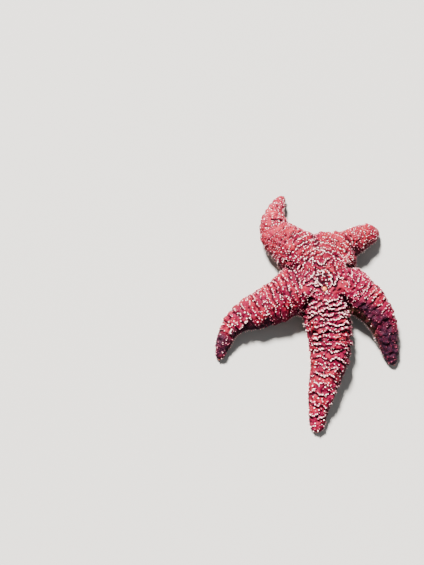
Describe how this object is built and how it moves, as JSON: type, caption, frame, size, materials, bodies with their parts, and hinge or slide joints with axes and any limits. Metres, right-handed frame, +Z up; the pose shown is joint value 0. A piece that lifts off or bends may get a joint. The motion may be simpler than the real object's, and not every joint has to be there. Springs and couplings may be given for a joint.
{
  "type": "ochre sea star",
  "caption": "Ochre sea star resting on a level floor: domed spiny disc, tapering bent arms, grooved underside with a central mouth, and a small sieve plate on top.",
  "frame": {"origin": "on the floor, below the middle of the animal's bounding box", "axes": "+Z up from the underside to the top of the disc; +Y from the long front arm towards the two back arms; +X towards the right arm"},
  "size_m": [0.187, 0.2564, 0.0387],
  "materials": {
    "skin": "damp, leathery, raspberry red",
    "spines": "satin, creamy white, chalky",
    "underside": "damp, tan",
    "tube_feet": "wet, translucent, pale amber",
    "madreporite": "matt, finely grooved, pale orange",
    "mouth": "damp, tan",
    "eyespot": "glossy, dark red"
  },
  "bodies": {
    "root": {"disc": "skin", "arm_front": "skin", "arm_front_tip": "skin", "eye_front": "eyespot", "arm_right": "skin", "arm_right_tip": "skin", "eye_right": "eyespot", "arm_back_right": "skin", "arm_back_right_tip": "skin", "eye_back_right": "eyespot", "arm_back_left": "skin", "arm_back_left_tip": "skin", "eye_back_left": "eyespot", "arm_left": "skin", "arm_left_tip": "skin", "eye_left": "eyespot", "madreporite": "madreporite", "mouth": "mouth"}
  },
  "joints": []
}
